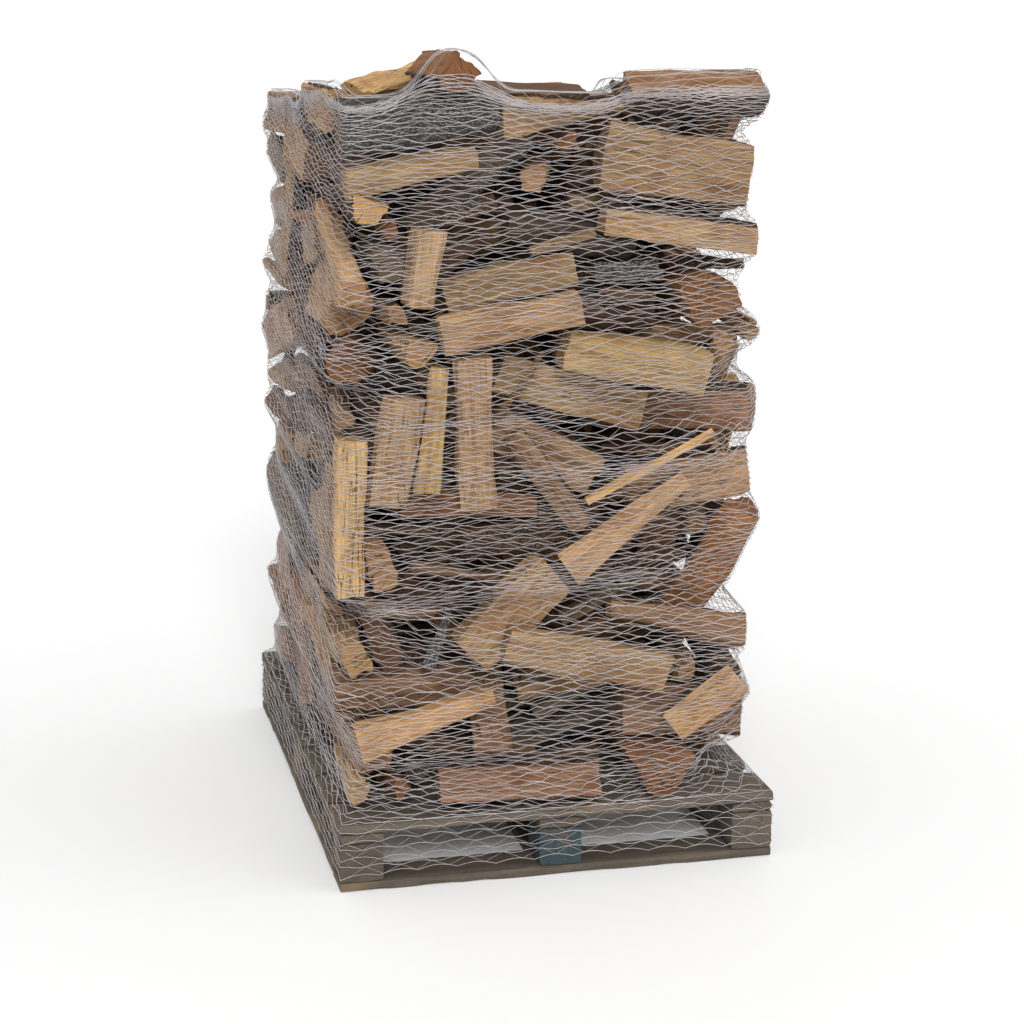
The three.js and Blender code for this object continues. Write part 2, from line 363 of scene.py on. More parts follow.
def placed_log(batch, start, end, size, cut, out, turn, tint, seed, around=44, rows=22):
    """A log laid between two given ends. size is its width and depth, and out is where its dressed face
    looks.
    """
    along = unit(end - start)
    face = unit(out - np.dot(out, along) * along)
    turned = math.radians(turn)
    face = face * math.cos(turned) + np.cross(along, face) * math.sin(turned)
    across = np.cross(face, along)
    outline = OUTLINES[cut] * np.array(size)
    kinds = kinds_of(outline)
    colour = shade(tint, np.random.default_rng(seed + 700))
    verts = loft(batch, outline, outline, start, end, across, face, kinds, colour, seed, around, rows,
                 pith=pith_of(outline, kinds))
    remember(start, end, across, face, outline, outline, FILL_OF[cut])
    return verts


# CAD logs that are split all round
BARKLESS = ("log_red_bark", "log_right_end", "log_triangle_end")
CAD_TINTS = {  # in the order in which they are laid
    "log_top_right": "bark", "log_top_middle": "tan", "log_peak_end": "orange",
    "log_grey_bark": "grey", "log_below_grey": "tan", "log_broad_split": "tan",
    "log_long_right": "tan", "log_right_end": "orange", "log_crossbar_tan": "tan",
    "log_sloping_yellow": "yellow", "log_behind_upper": "tan", "log_upright_cracked": "tan",
    "log_upright_narrow": "yellow", "log_upright_tall": "tan", "log_leaning_thin": "pink",
    "log_rising_right": "tan", "log_right_round": "tan", "log_red_bark": "orange",
    "log_corner_tall": "yellow", "log_falling_right": "tan", "log_wedge_right": "pink",
    "log_yellow_right": "yellow", "log_triangle_end": "orange", "log_corner_low": "pink",
    "log_pale_left": "yellow", "log_red_low": "pink", "log_left_upright": "tan",
    "log_left_top": "tan", "log_right_low": "pink", "log_right_high": "tan",
    "log_back_low": "tan", "log_back_middle": "yellow", "log_back_high": "bark",
    "log_top_crosswise": "tan", "log_top_lengthwise": "orange",
}

# name: start, end, (width, depth) in millimetres, cut, the way its dressed face looks, turn, tint
HAND_LAID = {
    "log_small_tan": ((-70, -530, 1552), (30, -240, 1548), (60, 55), "slab", FRONT, 0, "tan"),
    "log_small_orange_end": ((10, -535, 1634), (20, -240, 1630), (58, 46), "wedge", UP, 180, "orange"),
    "log_big_behind": ((-140, -470, 1020), (95, -465, 895), (100, 80), "half", FRONT, 8, "tan"),
    "log_right_protruding": ((140, -330, 1030), (452, -500, 1045), (105, 90), "half", FRONT, 20, "pink"),
    "log_thin_stick": ((336, -580, 1002), (50, -580, 858), (18, 15), "slab", FRONT, 0, "yellow"),
    "log_tan_low": ((-190, -495, 500), (0, -495, 680), (125, 70), "slab", FRONT, 0, "tan"),
    "log_pink_end": ((-138, -375, 446), (-136, -535, 270), (92, 60), "slab", FRONT, 0, "pink"),
    "log_yellow_top": ((-425, -420, 1724), (-205, -150, 1756), (85, 50), "slab", UP, 10, "yellow"),
    "log_yellow_end": ((-432, -575, 1500), (-432, -270, 1496), (82, 60), "half", UP, 20, "yellow"),
    "log_corner_lean": ((-470, -290, 1462), (-462, -560, 1330), (70, 55), "slab", LEFT, 0, "tan"),
    "log_apex_tan": ((-295, -520, 1455), (-318, -520, 1290), (80, 64), "quarter", FRONT, 25, "tan"),
    "log_yellow_triangle": ((-325, -560, 1197), (-325, -250, 1196), (98, 60), "wedge", UP, 0, "yellow"),
    "log_brown_bark": ((-478, -530, 1170), (-400, -250, 1160), (100, 80), "half", LEFT, 150, "orange"),
    "log_small_corner": ((-474, -540, 1052), (-440, -250, 1052), (50, 42), "wedge", LEFT, 0, "tan"),
    "log_left_pale": ((-462, -470, 850), (-462, -160, 740), (120, 60), "slab", LEFT, 0, "tan"),
    "log_left_high": ((-455, 210, 1632), (-455, 500, 1622), (95, 70), "slab", LEFT, 0, "tan"),
    "log_left_vertical": ((-458, 128, 1560), (-460, 240, 1290), (80, 60), "half", LEFT, 0, "yellow"),
    "log_left_low": ((-456, 60, 200), (-460, 200, 480), (90, 70), "quarter", LEFT, 0, "pink"),
}


# ---------------- materials
class Nodes:
    """A material's node tree, written a node at a time."""

    def __init__(self, name):
        self.material = bpy.data.materials.new(name)
        self.material.use_nodes = True
        self.tree = self.material.node_tree
        self.shader = self.tree.nodes["Principled BSDF"]

    def node(self, kind, inputs=None, **settings):
        made = self.tree.nodes.new(kind)
        for key, value in settings.items():
            setattr(made, key, value)
        for key, value in (inputs or {}).items():
            self.put(made.inputs[key], value)
        return made

    def put(self, socket, value):
        if isinstance(value, bpy.types.NodeSocket):
            self.tree.links.new(value, socket)
        else:
            socket.default_value = value

    def attribute(self, name):
        return self.node("ShaderNodeAttribute", attribute_name=name)

    def scaled(self, vector, scale):
        return self.node("ShaderNodeMapping", {"Vector": vector, "Scale": scale}).outputs[0]

    def noise(self, vector, scale=1.0, detail=3.0, rough=0.55, w=0.0, bent=0.0):
        made = self.node("ShaderNodeTexNoise", {
            "Vector": vector, "W": w, "Scale": scale, "Detail": detail, "Roughness": rough,
            "Distortion": bent}, noise_dimensions="4D")
        return made.outputs[0]

    def math(self, operation, a, b=0.0, c=0.0):
        return self.node("ShaderNodeMath", {0: a, 1: b, 2: c}, operation=operation).outputs[0]

    def span(self, value, low, high, to_low=0.0, to_high=1.0):
        return self.node("ShaderNodeMapRange", {
            "Value": value, "From Min": low, "From Max": high, "To Min": to_low,
            "To Max": to_high}).outputs[0]

    def mix(self, factor, a, b, blend="MIX"):
        made = self.node("ShaderNodeMix", data_type="RGBA", blend_type=blend)
        for key, value in ((0, factor), (6, a), (7, b)):
            if isinstance(value, tuple):
                value = (*value, 1.0)[:4]
            self.put(made.inputs[key], value)
        return made.outputs[2]

    def times(self, a, b):
        return self.mix(1.0, a, b, "MULTIPLY")

    def times_add(self, a, b, c):
        return self.math("MULTIPLY_ADD", a, b, c)

    def finish(self, colour, rough, height, distance):
        bump = self.node("ShaderNodeBump", {"Height": height, "Distance": distance, "Strength": 1.0})
        self.put(self.shader.inputs["Base Color"], colour)
        self.put(self.shader.inputs["Roughness"], rough)
        self.put(self.shader.inputs["Normal"], bump.outputs[0])
        return self.material


def wood_parts(m):
    """The tint, grain and pattern number that each piece of wood carries."""
    tint, grain = m.attribute("tint"), m.attribute("grain")
    return tint.outputs["Color"], grain.outputs["Vector"], m.math("MULTIPLY", tint.outputs["Alpha"], 37.0)


def ring_distance(m, grain, w, bend):
    """Distance from the tree's heart, a little uneven, in metres."""
    parts = m.node("ShaderNodeSeparateXYZ", {0: grain})
    flat = m.node("ShaderNodeCombineXYZ", {0: parts.outputs[0], 1: parts.outputs[1]})
    far = m.node("ShaderNodeVectorMath", {0: flat.outputs[0]}, operation="LENGTH").outputs["Value"]
    uneven = m.noise(grain, 14.0, 2.0, 0.5, w)
    return m.times_add(uneven, bend, far)


def split_wood_material():
    m = Nodes("split_wood_face")
    tint, grain, w = wood_parts(m)
    fine = m.noise(m.scaled(grain, (300, 300, 14)), 1.0, 4.0, 0.65, w, 0.4)
    streak = m.noise(m.scaled(grain, (95, 95, 7)), 1.0, 4.0, 0.62, w, 0.5)
    broad = m.noise(m.scaled(grain, (34, 34, 5)), 1.0, 4.0, 0.60, w, 0.8)
    patch = m.noise(m.scaled(grain, (13, 13, 8)), 1.0, 4.0, 0.65, w)
    tear = m.noise(m.scaled(grain, (60, 60, 38)), 1.0, 5.0, 0.7, w, 0.6)
    rings = m.math("SINE", m.math("MULTIPLY", ring_distance(m, grain, w, 0.006), 900.0))
    crack = m.noise(m.scaled(grain, (70, 70, 3.0)), 1.0, 2.0, 0.45, w, 0.2)
    crack = m.span(m.math("ABSOLUTE", m.math("SUBTRACT", crack, 0.5)), 0.0, 0.014)
    where = m.math("MAXIMUM", m.span(patch, 0.42, 0.50), m.span(m.math("FRACT", w), 0.36, 0.42))
    crack = m.math("MAXIMUM", crack, where)
    dark = m.times(tint, (0.46, 0.34, 0.25))
    warm = m.times(tint, (0.70, 0.54, 0.40))
    light = m.times(tint, (1.32, 1.30, 1.22))
    colour = m.mix(m.span(broad, 0.36, 0.64), tint, light)
    colour = m.mix(m.span(patch, 0.48, 0.64, 0.0, 0.85), colour, warm)
    colour = m.mix(m.span(streak, 0.50, 0.70, 0.0, 0.80), colour, dark)
    colour = m.mix(m.span(fine, 0.52, 0.76, 0.0, 0.55), colour, dark)
    colour = m.mix(m.span(tear, 0.56, 0.70, 0.0, 0.60), colour, m.times(dark, (0.8, 0.7, 0.6)))
    colour = m.mix(m.span(rings, 0.3, 1.0, 0.0, 0.22), colour, dark)
    colour = m.mix(crack, (0.02, 0.012, 0.008), colour)
    height = m.times_add(streak, 1.4, m.times_add(tear, 0.9, fine))
    height = m.times_add(crack, 1.0, height)
    return m.finish(colour, m.span(fine, 0.3, 0.7, 0.66, 0.92), height, 0.0034)


def bark_material():
    m = Nodes("bark")
    _, grain, w = wood_parts(m)
    grey = m.span(w, 28.5, 32.0)
    plates = m.node("ShaderNodeTexVoronoi", {
        "Vector": m.scaled(grain, (62, 62, 17)), "W": w, "Randomness": 1.0},
        voronoi_dimensions="4D", feature="DISTANCE_TO_EDGE").outputs["Distance"]
    furrow = m.span(plates, 0.0, 0.20)
    rough = m.noise(m.scaled(grain, (120, 120, 45)), 1.0, 5.0, 0.65, w)
    patch = m.noise(m.scaled(grain, (22, 22, 10)), 1.0, 3.0, 0.6, w)
    brown = m.mix(rough, (0.040, 0.023, 0.014), (0.230, 0.130, 0.074))
    red = m.mix(m.span(patch, 0.45, 0.68), brown, (0.27, 0.125, 0.058))
    ashen = m.mix(rough, (0.085, 0.075, 0.068), (0.36, 0.33, 0.305))
    lichen = m.mix(m.span(patch, 0.56, 0.66, 0.0, 0.55), m.mix(grey, red, ashen), (0.20, 0.20, 0.17))
    colour = m.mix(furrow, (0.012, 0.008, 0.006), lichen)
    height = m.times_add(rough, 0.5, furrow)
    return m.finish(colour, m.span(rough, 0.3, 0.7, 0.8, 0.97), height, 0.0032)


def end_grain_material():
    m = Nodes("sawn_end")
    tint, grain, w = wood_parts(m)
    far = ring_distance(m, grain, w, 0.010)
    rings = m.math("SINE", m.math("MULTIPLY", far, 1900.0))
    parts = m.node("ShaderNodeSeparateXYZ", {0: grain})
    angle = m.math("ARCTAN2", parts.outputs[1], parts.outputs[0])
    spoke = m.node("ShaderNodeCombineXYZ", {
        0: m.math("MULTIPLY", angle, 5.0), 1: m.math("MULTIPLY", far, 7.0)})
    check = m.noise(spoke.outputs[0], 1.0, 2.0, 0.4, w)
    check = m.span(m.math("ABSOLUTE", m.math("SUBTRACT", check, 0.52)), 0.0, 0.014)
    saw = m.noise(m.scaled(grain, (40, 700, 40)), 1.0, 2.0, 0.5, w)
    speck = m.noise(grain, 420.0, 3.0, 0.6, w)
    patch = m.noise(grain, 26.0, 3.0, 0.6, w)
    base = m.times(tint, (0.88, 0.82, 0.76))
    dark = m.times(tint, (0.46, 0.34, 0.25))
    colour = m.mix(m.span(rings, -0.2, 1.0, 0.0, 0.5), base, dark)
    brown = m.times(tint, (0.62, 0.50, 0.40))
    colour = m.mix(m.span(patch, 0.42, 0.7, 0.0, 0.7), colour, brown)
    colour = m.mix(m.span(speck, 0.5, 0.75, 0.0, 0.5), colour, dark)
    colour = m.mix(check, (0.016, 0.010, 0.007), colour)
    height = m.times_add(saw, 0.6, m.times_add(check, 1.2, speck))
    return m.finish(colour, m.span(speck, 0.3, 0.7, 0.74, 0.95), height, 0.0011)


def pallet_material(name, paint=None):
    m = Nodes(name)
    tint, grain, w = wood_parts(m)
    fine = m.noise(m.scaled(grain, (420, 420, 9)), 1.0, 4.0, 0.62, w, 0.3)
    broad = m.noise(m.scaled(grain, (60, 60, 2.5)), 1.0, 3.0, 0.55, w, 0.8)
    dirt = m.noise(grain, 7.0, 5.0, 0.62, w)
    speck = m.noise(grain, 90.0, 4.0, 0.6, w)
    colour = m.mix(m.span(broad, 0.35, 0.68), tint, m.times(tint, (1.5, 1.42, 1.30)))
    colour = m.mix(m.span(fine, 0.48, 0.74, 0.0, 0.85), colour, (0.030, 0.024, 0.018))
    colour = m.mix(m.span(dirt, 0.50, 0.70, 0.0, 0.7), colour, (0.060, 0.046, 0.032))
    if paint:
        worn = m.span(m.times_add(speck, 0.5, dirt), 0.80, 0.90)
        painted = m.mix(m.span(broad, 0.3, 0.7), paint, tuple(c * 1.4 for c in paint))
        colour = m.mix(worn, painted, colour)
    else:
        stain = m.span(m.noise(grain, 5.0, 2.0, 0.5, m.math("ADD", w, 3.0)), 0.58, 0.68, 0.0, 0.6)
        colour = m.mix(stain, colour, (0.30, 0.19, 0.085))
    height = m.times_add(broad, 0.5, m.times_add(speck, 0.3, fine))
    return m.finish(colour, m.span(speck, 0.3, 0.7, 0.70, 0.95), height, 0.0012)


def thread_material():
    m = Nodes("net_thread")
    _, grain, w = wood_parts(m)
    long_way = m.noise(grain, 9.0, 3.0, 0.6, w)
    fuzz = m.noise(grain, 900.0, 2.0, 0.6, w)
    colour = m.mix(m.span(long_way, 0.35, 0.65), (0.42, 0.39, 0.39), (0.68, 0.64, 0.64))
    colour = m.mix(m.span(fuzz, 0.45, 0.8, 0.0, 0.4), colour, (0.26, 0.21, 0.20))
    return m.finish(colour, m.span(fuzz, 0.3, 0.7, 0.45, 0.75), fuzz, 0.0004)


WOODS = [split_wood_material(), bark_material(), end_grain_material()]
PALLET_WOODS = [pallet_material("pallet_face"), pallet_material("pallet_edge"),
                pallet_material("pallet_end")]
PAINTED = [pallet_material("painted_block", linear(38, 54, 58))] * 3
THREAD = [thread_material()]


# ---------------- pallet
PALLET_TINT = linear(84, 76, 67)


def pallet_piece(name, seed):
    """A board or block of the pallet, with worn edges, in place of its CAD node."""
    low, high = (np.array(c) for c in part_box(name))
    size = high - low
    axis = 1 if name.startswith("block") else int(np.argmax(size))
    along, e1, e2 = np.roll(np.eye(3), -axis, 0)
    middle = (low + high) / 2
    reach = along * size[axis] / 2
    w, d = abs(e1 @ size) / 2, abs(e2 @ size) / 2
    outline = np.array([(-w, -d), (w, -d), (w, d), (-w, d)])
    kinds = np.full(4, SPLIT)
    r = np.random.default_rng(seed)
    tint = [*(np.array(PALLET_TINT) * r.uniform(0.72, 1.2)), r.uniform(0, 1)]
    batch = Batch()
    around, rows = (30, 12) if name.startswith("block") else (30, 40)
    loft(batch, outline, outline, middle - reach, middle + reach, e1, e2, kinds, tint, seed,
         around, rows, look="board", pith=(0.02, -0.16), bow=0.0, slant=0.0008)
    painted = name == "block_front_middle"
    piece = batch.build(name + "_wood", PAINTED if painted else PALLET_WOODS)
    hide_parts(name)


# ---------------- the pile behind
REACH_SQUARED = 0.45 ** 2  # logs whose middles are farther apart than this can't touch


def box_gap(centre, axes, half):
    """True if an oriented box is clear of every log placed so far."""
    count = PILE["count"]
    away = PILE["centre"][:count] - centre
    near = np.flatnonzero((away * away).sum(1) < REACH_SQUARED)
    if not len(near):
        return True
    B, hb = PILE["axes"][near], PILE["half"][near]
    R = np.einsum("ik,njk->nij", axes, B)
    t = away[near] @ axes.T
    A = np.abs(R) + 1e-6
    apart = (np.abs(t) > half + np.einsum("nij,nj->ni", A, hb)).any(1)
    tb = np.abs(np.einsum("ni,nij->nj", t, R))
    apart |= (tb > np.einsum("i,nij->nj", half, A) + hb).any(1)
    for i in range(3):
        i1, i2 = (i + 1) % 3, (i + 2) % 3
        for j in range(3):
            j1, j2 = (j + 1) % 3, (j + 2) % 3
            reach = (half[i1] * A[:, i2, j] + half[i2] * A[:, i1, j]
                     + hb[:, j1] * A[:, i, j2] + hb[:, j2] * A[:, i, j1])
            apart |= np.abs(t[:, i2] * R[:, i1, j] - t[:, i1] * R[:, i2, j]) > reach
        if apart.all():
            return True
    return bool(apart.all())


# the load's outline at a row of heights
HEIGHTS = [0.15, 0.33, 0.62, 0.80, 1.06, 1.30, 1.56, 1.80]
RIGHT_LIMIT = [0.470, 0.456, 0.448, 0.464, 0.452, 0.442, 0.437, 0.437]
BACK_LIMIT = [0.594, 0.594, 0.592, 0.592, 0.588, 0.584, 0.580, 0.576]
LEFT_LIMIT, FRONT_LIMIT = -0.495, -0.560
TOP_LIMIT, TOP_FALL = 1.765, 0.10  # the load's top at the front, and how much lower it is at the back


def inside(centre, axes, half, margin):
    """True if an oriented box is within the load's outline, less a margin."""
    reach = np.abs(axes.T) @ half + margin
    low, high = centre - reach, centre + reach
    z = centre[2]
    top = TOP_LIMIT - TOP_FALL * min(1, max(0, (centre[1] + 0.3) / 0.9))
    return (low[0] > LEFT_LIMIT and high[0] < np.interp(z, HEIGHTS, RIGHT_LIMIT)
            and low[1] > FRONT_LIMIT and high[1] < np.interp(z, HEIGHTS, BACK_LIMIT)
            and low[2] > DECK_TOP + 0.002 and high[2] < top)


def fits(centre, axes, half, margin):
    return inside(centre, axes, half, margin) and box_gap(centre, axes, half)


def settle(centre, axes, half, pushes, margin):
    """Moves a log in small steps until it meets its neighbours."""
    for way, step, most in pushes:
        for _ in range(most):
            moved = centre + way * step
            if not fits(moved, axes, half, margin):
                break
            centre = moved
    return centre


def random_log(r, out, lie, scale, lengths):
    """A log's axes and half sizes. lie is the share of logs lying flat, tilted and end on."""
    u = unit(np.cross(UP, out)) if abs(out[2]) < 0.5 else RIGHT
    v = UP if abs(out[2]) < 0.5 else BACK
    kind = r.choice(3, p=lie)
    if kind == 2:
        along = unit(out + 0.12 * r.normal(size=3))
        face = unit(np.cross(along, r.normal(size=3)))
    else:
        angle = r.normal(0, 0.16) if kind == 0 else r.uniform(0.35, 2.8)
        along = unit(math.cos(angle) * u + math.sin(angle) * v + 0.10 * r.normal() * out)
        face = out - (out @ along) * along
        turn = r.normal(0, 0.45) + (math.pi if r.random() < 0.3 else 0)
        face = unit(face)
        face = face * math.cos(turn) + np.cross(along, face) * math.sin(turn)
    across = np.cross(face, along)
    cut = r.choice(["quarter", "half", "slab", "wedge"], p=[0.4, 0.28, 0.24, 0.08])
    width, depth = r.uniform(0.075, 0.135) * scale, r.uniform(0.055, 0.095) * scale
    if cut == "wedge":
        width, depth = width * 0.7, depth * 0.7
    return cut, np.array([across, face, along]), np.array([width, depth, r.uniform(*lengths)])


# detail of a log's mesh: points around it and rows along it
OUTER_DETAIL, BEHIND_DETAIL, DEEP_DETAIL = (30, 12), (26, 10), (16, 6)
SPLINTER, CORE_DETAIL = (12, 5), (12, 4)
DEPTH_PAINTED_SHADE = 0.62  # painted shade: logs inside the load are painted darker than those at its faces by this, for the shadow they lie in
SWEEPS = (1.0, 0.85, 0.66, 0.5)  # sizes of the logs tried, big ones first
SPLINTER_SWEEPS = (0.85, 0.6, 0.44, 0.3)
LENGTHS, SPLINTER_LENGTHS = (0.285, 0.345), (0.12, 0.26)
SPLINTER_MARGIN = 0.018  # how far splinters stay inside the load's outline


def tint_of(r, outer):
    names = OUTSIDE if outer else BEHIND
    tint = shade(names[r.integers(len(names))], r)
    # painted shade: logs inside the load are darkened to stand in for the load's shadow
    if not outer:
        tint[:3] = [c * DEPTH_PAINTED_SHADE for c in tint[:3]]
    return tint


def half_of(cut, size):
    """Half the box that a log takes up among its neighbours."""
    return size / 2 * np.array([FILL_OF[cut], FILL_OF[cut], 1])


def lay_log(batch, cut, axes, size, centre, taper, tint, seed, detail):
    """Builds a log of the pile, and remembers its box, and its points for the net."""
    outline = OUTLINES[cut] * size[:2]
    last = outline * np.array([taper, (1 + taper) / 2])
    kinds = kinds_of(outline)
    reach = axes[2] * size[2] / 2
    OUTER.append(loft(batch, outline, last, centre - reach, centre + reach, axes[0], axes[1], kinds,
                      tint, seed, *detail, pith=pith_of(outline, kinds)))
    lay(centre, axes, half_of(cut, size))


def fill(batch, low, high, outs, lie, tries, seed, detail, outer):
    """Packs logs into a region of the load, from the bottom up, pushing each down and outwards."""
    r = np.random.default_rng(seed)
    low, high = np.array(low), np.array(high)
    pushes = [(out, 0.02, 14) for out in outs] + [(-UP, 0.012, 30)]
    pushes += [(out, 0.005, 12) for out in outs] + [(-UP, 0.004, 8)]
    sizes, lengths, margin = SWEEPS, LENGTHS, 0.0
    if detail == SPLINTER:
        sizes, lengths, margin = SPLINTER_SWEEPS, SPLINTER_LENGTHS, SPLINTER_MARGIN
    placed = 0
    sweep = tries // len(sizes)
    for k in range(sweep * len(sizes)):
        cut, axes, size = random_log(r, outs[k % len(outs)], lie, sizes[k // sweep], lengths)
        centre = low + (high - low) * r.random(3)
        share = (k % sweep) / sweep
        centre[2] = low[2] + (high[2] - low[2]) * np.clip(share + 0.06 * r.normal(), 0, 1)
        half = half_of(cut, size)
        if fits(centre, axes, half, margin):
            centre = settle(centre, axes, half, pushes, margin)
            taper = r.uniform(0.8, 1.15)
            lay_log(batch, cut, axes, size, centre, taper, tint_of(r, outer),
                    seed * 1000 + placed + 1, detail)
            placed += 1


LOOKED_FROM = [(-1.29, -5.05, 2.10), (-4.8, 1.6, 1.6), (4.8, -1.6, 1.6)]
LINE_PITCH = 0.012  # between sight lines on the far side of the load
FAR_SIDE = (0.44, 0.56)  # where the far side is, when looking along x and along y
FAR_WIDTH = (0.44, 0.50)  # half the width of the grid there
SEEN_SHARE = 0.85  # share of its box that a log surely hides
MOST_CHIPS = 240
CHIP_SIZES = (0.6, 0.44, 0.32, 0.22)
TRIES_A_SIZE = 30
CHIP_SEED, CORE_SEED, HAND_SEED, FACE_SEED = 70000, 9000, 60, 11


def sight_lines(eye):
    """Directions from a point outside to a grid over the far side of the load."""
    axis = int(np.argmax(np.abs(eye[:2])))
    across, high = np.meshgrid(np.arange(-FAR_WIDTH[axis], FAR_WIDTH[axis], LINE_PITCH),
                               np.arange(0.18, 1.62, LINE_PITCH))
    far = np.zeros((across.size, 3))
    far[:, axis] = -np.sign(eye[axis]) * FAR_SIDE[axis]
    far[:, 1 - axis], far[:, 2] = across.ravel(), high.ravel()
    return far - eye


def meets(eye, lines, k):
    """Which lines pass through log k's box."""
    axes, half = PILE["axes"][k], PILE["half"][k] * SEEN_SHARE
    start, way = axes @ (eye - PILE["centre"][k]), lines @ axes.T + 1e-9
    one, two = (-half - start) / way, (half - start) / way
    return np.minimum(one, two).max(1) < np.maximum(one, two).min(1)


def lay_chip(batch, r, eye, line, seed):
    """Lays the biggest piece of wood that fits somewhere along a sight line. True if one does."""
    for k in range(TRIES_A_SIZE * len(CHIP_SIZES)):
        scale = CHIP_SIZES[k // TRIES_A_SIZE]
        cut, axes, size = random_log(r, FRONT, (0.5, 0.3, 0.2), scale, (0.10, 0.14 + 0.2 * scale))
        centre = eye + line * (1 - 0.9 * r.random() / np.linalg.norm(line))
        if fits(centre, axes, half_of(cut, size), SPLINTER_MARGIN):
            lay_log(batch, cut, axes, size, centre, 1, tint_of(r, False), seed, SPLINTER)
            return True
    return False


def build_chips():
    """Small pieces of wood laid where one could otherwise look straight through the load."""
    r = np.random.default_rng(501)
    batch = Batch()
    placed = 0
    for eye in np.array(LOOKED_FROM):
        lines = sight_lines(eye)
        clear = np.ones(len(lines), bool)
        for k in range(PILE["count"]):
            clear &= ~meets(eye, lines, k)
        for line in r.permutation(np.flatnonzero(clear)):
            if not clear[line] or placed >= MOST_CHIPS:
                continue
            if lay_chip(batch, r, eye, lines[line], CHIP_SEED + placed):
                clear &= ~meets(eye, lines, PILE["count"] - 1)
                placed += 1
    batch.build("logs_chips", WOODS)


CORE_LAYER, CORE_PITCH, CORE_LENGTH = 0.088, 0.104, 0.262
CORE_TOP = 1.64
CORE_SIZE = (0.102, 0.086)


def build_core():
    """The middle of the load: layers of logs, laid one way and then the other."""
    r = np.random.default_rng(77)
    batch = Batch()
    for layer in range(int((CORE_TOP - DECK_TOP) / CORE_LAYER)):
        z = DECK_TOP + CORE_LAYER * (layer + 0.52)
        along, side = (RIGHT, BACK) if layer % 2 else (BACK, RIGHT)
        for row in range(-2, 3):
            for half in (-1, 1):
                middle = np.array([0, 0.02, z]) + side * CORE_PITCH * row + along * half * CORE_LENGTH * 0.56
                heading = unit(along + side * r.normal(0, 0.03) + UP * r.normal(0, 0.015))
                reach = heading * CORE_LENGTH * r.uniform(0.50, 0.55)
                cut = ("quarter", "half", "slab")[r.integers(3)]
                placed_log(batch, middle - reach, middle + reach, CORE_SIZE, cut, UP,
                           180 * r.integers(2), BEHIND[r.integers(len(BEHIND))],
                           CORE_SEED + layer * 10 + row * 2 + half, *CORE_DETAIL)
    batch.build("logs_core", WOODS)


# shares of the logs that lie flat, tilted and end on
FLAT, MIXED, LEVEL, ENDWISE = (0.62, 0.22, 0.16), (0.5, 0.22, 0.28), (0.9, 0.1, 0.0), (0.15, 0.25, 0.60)
# name: lowest and highest middle of a log, where they are pushed, how they lie, tries, detail
FACES = {
    "corner_front_left": ((-0.46, -0.50, 0.2), (-0.36, -0.25, 1.7), [LEFT, FRONT], FLAT, 2400, OUTER_DETAIL),
    "corner_back_left": ((-0.46, 0.38, 0.2), (-0.42, 0.48, 1.7), [LEFT], LEVEL, 4000, OUTER_DETAIL),
    "corner_back_right": ((0.40, 0.38, 0.2), (0.43, 0.48, 1.7), [RIGHT], LEVEL, 4000, OUTER_DETAIL),
    "corner_front_right": ((0.26, -0.52, 0.2), (0.44, -0.25, 1.7), [RIGHT, FRONT], FLAT, 3600, OUTER_DETAIL),
    "left": ((-0.47, -0.42, 0.2), (-0.40, 0.56, 1.70), [LEFT], FLAT, 6000, OUTER_DETAIL),
    "right": ((0.34, -0.42, 0.2), (0.44, 0.56, 1.70), [RIGHT], FLAT, 6000, OUTER_DETAIL),
    "back": ((-0.45, 0.46, 0.2), (0.42, 0.56, 1.70), [BACK], FLAT, 6000, OUTER_DETAIL),
    "front_behind": ((-0.45, -0.53, 0.2), (0.42, -0.34, 1.72), [FRONT], MIXED, 12000, BEHIND_DETAIL),
    "top": ((-0.42, -0.45, 1.60), (0.40, 0.50, 1.72), [UP], FLAT, 3600, OUTER_DETAIL),
    "front_deep": ((-0.38, -0.36, 0.2), (0.38, -0.24, 1.66), [FRONT], MIXED, 4000, DEEP_DETAIL),
    "left_behind": ((-0.38, -0.35, 0.2), (-0.24, 0.45, 1.66), [LEFT], MIXED, 3000, DEEP_DETAIL),
    "right_behind": ((0.22, -0.35, 0.2), (0.36, 0.45, 1.66), [RIGHT], MIXED, 3000, DEEP_DETAIL),
    "back_behind": ((-0.38, 0.26, 0.2), (0.36, 0.46, 1.66), [BACK], MIXED, 3000, DEEP_DETAIL),
    "small_right": ((0.20, -0.50, 0.18), (0.44, 0.55, 1.70), [RIGHT], ENDWISE, 12000, SPLINTER),
    "small_left": ((-0.48, -0.50, 0.18), (-0.25, 0.56, 1.70), [LEFT], ENDWISE, 16000, SPLINTER),
    "small_middle": ((-0.3, -0.52, 0.18), (0.3, -0.28, 1.70), [FRONT], MIXED, 10000, SPLINTER),
}


def build_pile():
    """Every log of the load: the CAD ones, those listed one by one, and the pile that fills the rest."""
    for k, (name, tint) in enumerate(CAD_TINTS.items()):
        cad_log(name, tint, k + 1)
    for k, (name, (start, end, size, *rest)) in enumerate(HAND_LAID.items()):
        batch = Batch()
        start, end, size = (np.array(place) / 1000 for place in (start, end, size))
        OUTER.append(placed_log(batch, start, end, size, *rest, HAND_SEED + k))
        batch.build(name, WOODS)
    build_core()
    for k, (name, (*region, detail)) in enumerate(FACES.items()):
        batch = Batch()
        fill(batch, *region, FACE_SEED + k, detail, detail == OUTER_DETAIL)
        batch.build("logs_" + name, WOODS)
    build_chips()


# ---------------- net
def hull(points):
    """The convex outline of points in a plane, anticlockwise."""
    order = points[np.lexsort((points[:, 1], points[:, 0]))]
    chains = []
    for run in (order, order[::-1]):
        chain = []
        for p in run:
            while len(chain) > 1:
                a, b = chain[-1] - chain[-2], p - chain[-2]
                if a[0] * b[1] - a[1] * b[0] > 0:
                    break
                chain.pop()
            chain.append(p)
        chains += chain[:-1]
    return np.array(chains)


